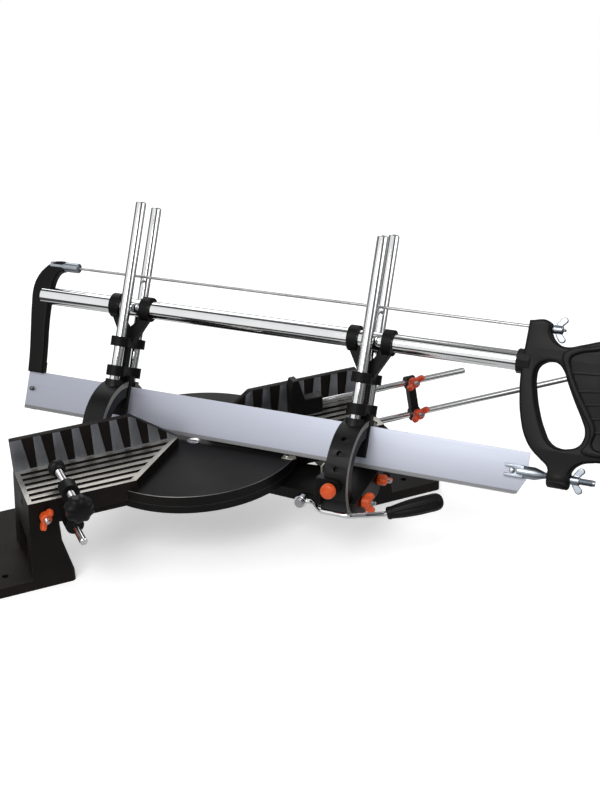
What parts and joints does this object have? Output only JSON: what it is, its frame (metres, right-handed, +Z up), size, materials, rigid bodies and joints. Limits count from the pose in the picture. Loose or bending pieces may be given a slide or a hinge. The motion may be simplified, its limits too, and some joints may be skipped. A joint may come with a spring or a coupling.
{
  "type": "compound mitre saw",
  "caption": "Hand mitre saw: tensioned frame saw sliding on tilting guide posts over a turntable between fenced beds, with work clamp and length stop.",
  "frame": {"origin": "on the bench, midway between the four bench bolts and under the turntable's pivot", "axes": "+X along the fence to the right, +Y away from the user, +Z up"},
  "size_m": [0.732, 0.5356, 0.3289],
  "materials": {
    "black_casting": "satin black paint on a sand casting, machined bright on ribs and fence pads",
    "black_ring": "satin black paint",
    "chrome": "polished chrome plate",
    "bright_steel": "bright drawn steel",
    "zinc": "zinc plated",
    "blade_steel": "ground strip steel",
    "pointer_aluminium": "plain aluminium sheet",
    "black_plastic": "fine grained black moulding",
    "orange_plastic": "orange moulding"
  },
  "bodies": {
    "base": {"left_bed": "black_casting", "right_bed": "black_casting", "base_pan": "black_casting", "pan_bolts": "bright_steel"},
    "table": {"turntable": "black_casting", "pivot_bolt": "bright_steel", "pivot_nut": "bright_steel", "saw_arm": "black_casting", "mitre_pointer": "pointer_aluminium", "bevel_pointer": "pointer_aluminium", "pointer_screws": "bright_steel", "lever_pin": "bright_steel"},
    "lever": {"release_lever": "bright_steel", "lever_grip": "black_plastic"},
    "plunger": {"plunger_pin": "bright_steel", "plunger_knob": "orange_plastic"},
    "bevel_clamp_left": {"bevel_screw_left": "bright_steel", "bevel_knob_left": "orange_plastic"},
    "bevel_clamp_right": {"bevel_screw_right": "bright_steel", "bevel_knob_right": "orange_plastic"},
    "tilt_frame": {"front_ring": "black_ring", "rear_ring": "black_ring", "post_front_near": "chrome", "post_front_far": "chrome", "post_rear_near": "chrome", "post_rear_far": "chrome"},
    "front_slide": {"front_carriage": "black_plastic"},
    "rear_slide": {"rear_carriage": "black_plastic"},
    "frame_saw": {"saw_tube": "chrome", "frame_arm": "black_ring", "rod_ferrule": "zinc", "tension_rod": "bright_steel", "saw_handle": "black_plastic", "tube_collar": "black_plastic", "saw_blade": "blade_steel", "blade_clevis": "zinc", "rear_blade_pin": "bright_steel", "front_blade_pin": "bright_steel"},
    "top_nut": {"top_wing_nut": "zinc"},
    "bottom_nut": {"bottom_wing_nut": "zinc"},
    "clamp_bar": {"clamp_rod": "bright_steel"},
    "clamp_bracket": {"clamp_arm": "black_plastic"},
    "clamp_foot": {"clamp_pad": "black_plastic"},
    "clamp_spindle": {"clamp_screw": "bright_steel", "clamp_knob": "black_plastic"},
    "stop_low": {"stop_lower_rod": "bright_steel"},
    "stop_joint": {"stop_link": "black_plastic"},
    "stop_high": {"stop_upper_rod": "bright_steel", "stop_block": "black_plastic"},
    "link_clamp_lower": {"link_screw_lower": "bright_steel", "link_knob_lower": "orange_plastic"},
    "link_clamp_upper": {"link_screw_upper": "bright_steel", "link_knob_upper": "orange_plastic"},
    "lock_left": {"lock_screw_left": "bright_steel", "lock_knob_left": "orange_plastic"},
    "lock_right": {"lock_screw_right": "bright_steel", "lock_knob_right": "orange_plastic"}
  },
  "joints": [
    {"name": "mitre_turn", "type": "hinge", "parent": "base", "child": "table", "pos_m": [0, 0, 0.0901], "axis": [0, 0, 1], "range_deg": [-69, 0]},
    {"name": "bevel_tilt", "type": "hinge", "parent": "table", "child": "tilt_frame", "pos_m": [0, 0, 0.0901], "axis": [0.7071, -0.7071, 0], "range_deg": [-10, 36]},
    {"name": "saw_lift", "type": "slide", "parent": "tilt_frame", "child": "front_slide", "axis": [0.332, 0.332, 0.8829], "range_m": [0, 0.12]},
    {"name": "rear_lift", "type": "slide", "parent": "tilt_frame", "child": "rear_slide", "axis": [0.332, 0.332, 0.8829], "range_m": [0, 0.12]},
    {"name": "saw_stroke", "type": "slide", "parent": "front_slide", "child": "frame_saw", "axis": [0.7071, -0.7071, 0], "range_m": [-0.12, 0.065]},
    {"name": "release_lever_press", "type": "hinge", "parent": "table", "child": "lever", "pos_m": [0.07637, -0.12869, 0.063], "axis": [0.7071, 0.7071, 0], "range_deg": [0, 8], "stiffness_Nm_per_rad": 1, "springref_deg": -6.88},
    {"name": "index_plunger_slide", "type": "slide", "parent": "table", "child": "plunger", "axis": [0.6964, 0.6964, -0.1736], "range_m": [0, 0.0045]},
    {"name": "bevel_clamp_left_turn", "type": "hinge", "parent": "table", "child": "bevel_clamp_left", "pos_m": [0.13081, -0.16546, 0.068], "axis": [0.7071, -0.7071, 0], "continuous": true},
    {"name": "bevel_clamp_right_turn", "type": "hinge", "parent": "table", "child": "bevel_clamp_right", "pos_m": [0.16546, -0.13081, 0.068], "axis": [0.7071, -0.7071, 0], "continuous": true},
    {"name": "top_nut_turn", "type": "hinge", "parent": "frame_saw", "child": "top_nut", "pos_m": [0.32521, -0.20936, 0.24417], "axis": [0.7071, -0.7071, 0], "continuous": true},
    {"name": "bottom_nut_turn", "type": "hinge", "parent": "frame_saw", "child": "bottom_nut", "pos_m": [0.30399, -0.28573, 0.11438], "axis": [0.7071, -0.7071, 0], "continuous": true},
    {"name": "clamp_bar_slide", "type": "slide", "parent": "base", "child": "clamp_bar", "axis": [-0.0436, 0.9987, 0.0262], "range_m": [-0.05, 0]},
    {"name": "clamp_swing", "type": "hinge", "parent": "clamp_bar", "child": "clamp_bracket", "pos_m": [-0.1593, -0.08998, 0.07758], "axis": [-0.0436, 0.9987, 0.0262], "range_deg": [-20, 20]},
    {"name": "clamp_feed", "type": "slide", "parent": "clamp_bracket", "child": "clamp_foot", "axis": [-0.0436, 0.9987, 0.0262], "range_m": [-0.028, 0.022]},
    {"name": "clamp_turn", "type": "hinge", "parent": "clamp_foot", "child": "clamp_spindle", "pos_m": [-0.15882, -0.10099, 0.11631], "axis": [-0.0436, 0.9987, 0.0262], "range_deg": [-2527, 1988]},
    {"name": "stop_slide", "type": "slide", "parent": "base", "child": "stop_low", "axis": [1, 0, 0], "range_m": [-0.012, 0.025]},
    {"name": "stop_swing", "type": "hinge", "parent": "stop_low", "child": "stop_joint", "pos_m": [0.256, -0.038, 0.084], "axis": [1, 0, 0], "range_deg": [-15, 25]},
    {"name": "stop_reach", "type": "slide", "parent": "stop_joint", "child": "stop_high", "axis": [1, 0, 0], "range_m": [-0.02, 0.09]},
    {"name": "link_clamp_lower_turn", "type": "hinge", "parent": "stop_joint", "child": "link_clamp_lower", "pos_m": [0.256, -0.04542, 0.0867], "axis": [0, 0.9397, -0.342], "continuous": true},
    {"name": "link_clamp_upper_turn", "type": "hinge", "parent": "stop_joint", "child": "link_clamp_upper", "pos_m": [0.256, -0.03277, 0.12147], "axis": [0, 0.9397, -0.342], "continuous": true},
    {"name": "lock_left_turn", "type": "hinge", "parent": "base", "child": "lock_left", "pos_m": [-0.1845, -0.0755, 0.084], "axis": [0, 1, 0], "continuous": true},
    {"name": "lock_right_turn", "type": "hinge", "parent": "base", "child": "lock_right", "pos_m": [0.1845, -0.0755, 0.084], "axis": [0, 1, 0], "continuous": true}
  ],
  "couplings": [
    {"joint": "rear_lift", "follows": "saw_lift", "ratio": 1},
    {"joint": "clamp_turn", "follows": "clamp_feed", "rad_per_m": 1570.8}
  ]
}
